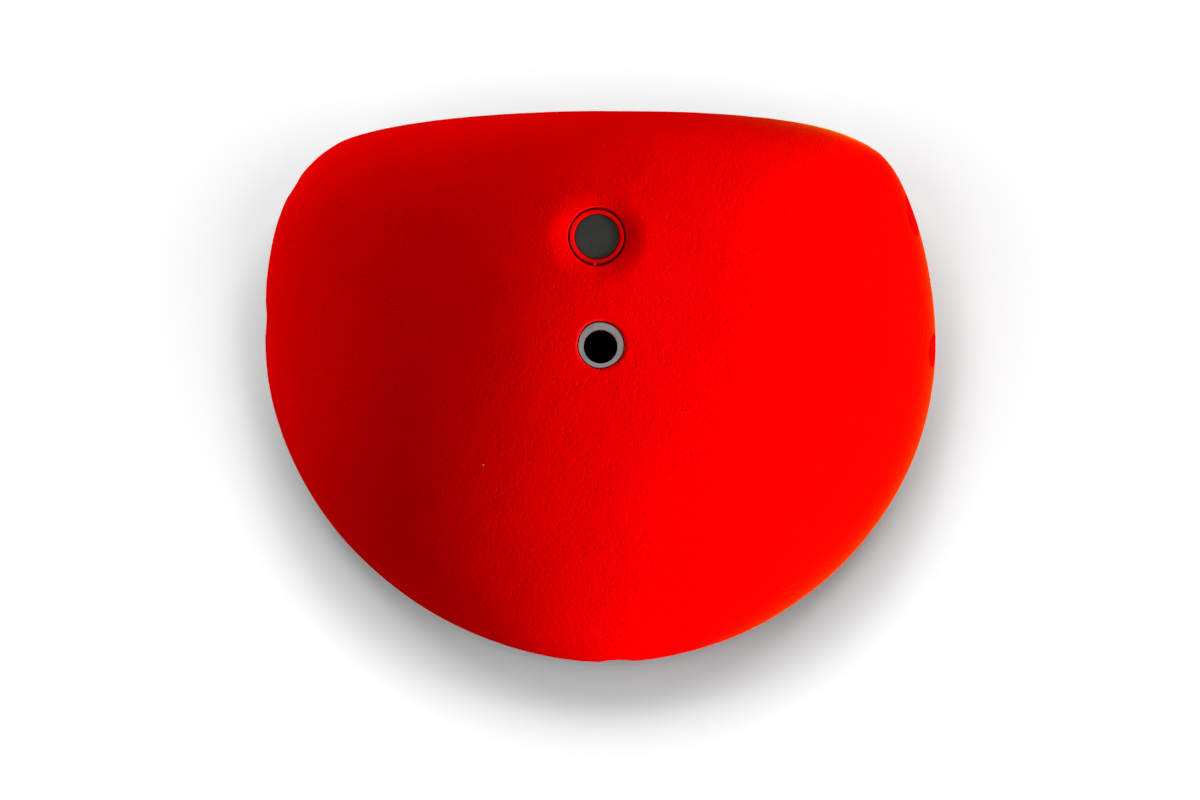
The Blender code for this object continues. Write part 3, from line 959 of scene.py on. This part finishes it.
mouldedRed = {
    "colour": (0.98, 0.0008, 0.0004),
    "deep": (0.88, 0.0006, 0.0003),
    "roughness": 0.55,
    "cloudScale": 160.0,
    "cloudRange": (0.35, 0.7),
    "fineScale": 1400.0,
    "fineRoughness": 0.15,
    "bumpStrength": 0.4,
    "bumpHeight": 0.00006,
    "specular": 0.02,
    "sheen": 0.06,
}

gateRed = {
    "colour": (0.98, 0.020, 0.050),
    "deep": (0.95, 0.008, 0.020),
    "roughness": 0.6,
    "frostScale": 2200.0,
    "bumpStrength": 0.6,
    "bumpHeight": 0.00008,
    "specular": 0.2,
}

darkResin = {
    "colour": (0.032, 0.034, 0.028),
    "deep": (0.022, 0.024, 0.020),
    "roughness": 0.48,
    "cloudScale": 190.0,
    "cloudRange": (0.35, 0.65),
    "cloudRise": 0.7,
    "cloudRoughness": 0.2,
    "fineScale": 1600.0,
    "bumpStrength": 0.5,
    "bumpHeight": 0.00005,
    "specular": 0.25,
}


def makeMouldedRed():
    material, wire, place = startMaterial("moulded_red")
    look = mouldedRed
    clouds = grain(wire, place, look["cloudScale"], 3.0)
    fine = grain(wire, place, look["fineScale"])
    bump = bumpFrom(wire, look, clouds + fine)
    shader = wire.node("BsdfPrincipled", None, {
        "Base Color": clouds.ramp(*look["cloudRange"]).blend(look["colour"], look["deep"]),
        "Roughness": look["roughness"] + look["fineRoughness"] * fine,
        "Specular IOR Level": look["specular"],
        "Sheen Weight": look["sheen"],
        "Sheen Roughness": sandedRed["sheenRoughness"],
        "Sheen Tint": sandedRed["sheenTint"],
        "Normal": bump,
    })
    finishMaterial(wire, shader)
    return material


def makeGateRed():
    material, wire, place = startMaterial("gate_red")
    look = gateRed
    frost = grain(wire, place, look["frostScale"])
    bump = bumpFrom(wire, look, frost)
    shader = wire.node("BsdfPrincipled", None, {
        "Base Color": frost.blend(look["colour"], look["deep"]),
        "Roughness": look["roughness"],
        "Specular IOR Level": look["specular"],
        "Normal": bump,
    })
    finishMaterial(wire, shader)
    return material


def makeDarkResin():
    material, wire, place = startMaterial("dark_resin")
    look = darkResin
    clouds = grain(wire, place, look["cloudScale"], 4.0, 0.6)
    fine = grain(wire, place, look["fineScale"])
    bump = bumpFrom(wire, look, clouds * look["cloudRise"] + fine)
    shader = wire.node("BsdfPrincipled", None, {
        "Base Color": clouds.ramp(*look["cloudRange"]).blend(look["colour"], look["deep"]),
        "Roughness": look["roughness"] + look["cloudRoughness"] * clouds,
        "Specular IOR Level": look["specular"],
        "Normal": bump,
    })
    finishMaterial(wire, shader)
    return material


# The mark that the gate of the mould left below the badge
def makeGateTab():
    mesh = bmesh.new()
    bmesh.ops.create_cube(mesh, size=1.0)
    size = badge["gateSize"]
    bmesh.ops.scale(mesh, verts=mesh.verts, vec=size)
    bmesh.ops.bevel(mesh, geom=mesh.edges, offset=badge["gateEase"], segments=2, profile=0.5,
                    affect="EDGES", material=-1)
    spot = Vector((*badge["gatePlace"], badge["gateTop"] - size[2] / 2))
    bmesh.ops.translate(mesh, verts=mesh.verts, vec=spot)
    for face in mesh.faces:
        face.material_index = 1
    return mesh


def makeBadge():
    ease = badge["rimEase"]
    radius = badge["radius"]
    top = badge["top"]
    inner = badge["fieldRadius"] + body["gap"] / 2
    seat = badge["fieldHeight"] - badge["fieldThickness"] - body["gap"]
    profile = [(0.0, badge["floor"])]
    profile += arc((radius - ease, badge["floor"] + ease), (ease, ease), -90.0, 0.0, badge["easeSteps"])
    profile += arc((radius - ease, top - ease), (ease, ease), 0.0, 90.0, badge["rimSteps"])
    profile += arc((inner + ease, top - ease), (ease, ease), 90.0, 180.0, badge["rimSteps"])
    profile += [(inner, seat), (0.0, seat)]
    disc = turned(profile, badge["steps"])
    bmesh.ops.translate(disc, verts=disc.verts, vec=badge["place"].to_3d())
    piece = makePiece("badge_disc", joined([disc, makeGateTab()]), [makeMouldedRed(), makeGateRed()])
    standFor(piece, "badge_coin")


def makeBadgeField():
    high = badge["fieldHeight"]
    low = high - badge["fieldThickness"]
    radius = badge["fieldRadius"]
    ease = badge["fieldEase"]
    profile = [(0.0, low), (radius, low)]
    profile += arc((radius - ease, high - ease), (ease, ease), 0.0, 80.0, badge["easeSteps"])
    for share in badge["fieldRings"]:
        profile.append((radius * share, high + badge["fieldDome"] * (1.0 - share ** 2)))
    mesh = turned(profile, badge["steps"])
    bmesh.ops.translate(mesh, verts=mesh.verts, vec=badge["place"].to_3d())
    standFor(makePiece("badge_field", mesh, [makeDarkResin()]), "badge_inlay")


makeBadge()
makeBadgeField()
print("badge made")


# Lamps, floor and world: the lamps of the hold don't light the floor, which has its own

light = {
    "keyTurn": (-13.5, 10.0),
    "keyStrength": 7.5,
    "fillTurn": (136.7, -2.1),
    "fillStrength": 2.02,
    "fillColour": (1.0, 0.2, 0.2),
    "lowTurn": (299.0, -10.0),
    "lowStrength": 0.45,
    "softness": radians(20.0),
    "world": 0.295,
    "floorLamps": (((90.0, 46.0), 20.7, 22.0), ((2.1, 52.0), 20.8, 52.0), ((177.9, 52.0), 20.8, 52.0),
                   ((64.2, 51.6), 18.3, 17.0), ((115.8, 51.6), 18.3, 17.0),
                   ((-10.5, 71.2), 3.1, 16.0), ((190.5, 71.2), 3.1, 16.0)),
    "floorColour": (0.04, 0.04, 0.04),
    "floorSize": 12.0,
    "floorDrop": 0.0002,
    "paintedBoltShade": 0.0090,
    "paintedBoltShadeBlur": 0.0005,
}


def makeLamp(name, turn, strength, softness, receivers, blockers, colour=(1.0, 1.0, 1.0)):
    data = bpy.data.lights.new(name, "SUN")
    data.energy = strength
    data.color = colour
    data.angle = softness
    lamp = bpy.data.objects.new(name, data)
    azimuth, elevation = (radians(angle) for angle in turn)
    away = Vector((cos(elevation) * cos(azimuth), cos(elevation) * sin(azimuth), sin(elevation)))
    lamp.rotation_euler = away.to_track_quat("Z", "Y").to_euler()
    bpy.context.collection.objects.link(lamp)
    lamp.light_linking.receiver_collection = receivers
    lamp.light_linking.blocker_collection = blockers


def makeFloor():
    mesh = bmesh.new()
    bmesh.ops.create_grid(mesh, x_segments=1, y_segments=1, size=light["floorSize"] / 2)
    bmesh.ops.translate(mesh, verts=mesh.verts, vec=(0.0, 0.0, -light["floorDrop"]))
    material, wire, place = startMaterial("floor_white")
    seen = wire.node("LightPath", output="Is Camera Ray")
    turnedAway = wire.node("NewGeometry", output="Backfacing")
    shown = seen * (1.0 - turnedAway)
    # Painted shade: a black disc on the floor under the bolt hole, so the bore looks dark to its end
    # instead of showing the lit floor
    apart = wire.node("VectorMath", {"operation": "LENGTH"}, {0: place}, 1)
    hole = 1.0 - apart.ramp(light["paintedBoltShade"] - light["paintedBoltShadeBlur"], light["paintedBoltShade"])
    paint = wire.node("BsdfDiffuse", None, {"Color": hole.blend(light["floorColour"], (0.0, 0.0, 0.0))})
    clear = wire.node("BsdfTransparent")
    finishMaterial(wire, wire.node("MixShader", None, {0: shown, 1: clear, 2: paint}))
    floor = makePiece("floor", mesh, [material])
    floor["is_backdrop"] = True
    return floor


def makeWorld():
    world = bpy.data.worlds.new("studio")
    bpy.context.scene.world = world
    world.use_nodes = True
    world.node_tree.nodes.clear()
    wire = Wire(world.node_tree)
    seen = wire.node("LightPath", output="Is Camera Ray")
    glossy = wire.node("LightPath", output="Is Glossy Ray")
    passed = wire.node("LightPath", output="Is Transmission Ray")
    direct = wire.math("MAXIMUM", wire.math("MAXIMUM", seen, glossy), passed)
    strength = light["world"] + direct * (1.0 - light["world"])
    shade = wire.node("Background", None, {"Color": (1.0, 1.0, 1.0, 1.0), "Strength": strength})
    output = wire.tree.nodes.new("ShaderNodeOutputWorld")
    wire.tree.links.new(shade.socket, output.inputs["Surface"])


def makeStudio():
    floor = makeFloor()
    onFloor = bpy.data.collections.new("lit_floor")
    onFloor.objects.link(floor)
    onHold = bpy.data.collections.new("lit_hold")
    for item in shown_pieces():
        onHold.objects.link(item)
    soft = light["softness"]
    makeLamp("key", light["keyTurn"], light["keyStrength"], soft, onHold, onHold)
    makeLamp("fill", light["fillTurn"], light["fillStrength"], soft, onHold, onHold, light["fillColour"])
    makeLamp("low", light["lowTurn"], light["lowStrength"], soft, onHold, onHold)
    for turn, strength, softness in light["floorLamps"]:
        makeLamp("floor_lamp", turn, strength, radians(softness), onFloor, onHold)
    makeWorld()


makeStudio()
bpy.context.scene.view_settings.view_transform = "Standard"

print("scene made")
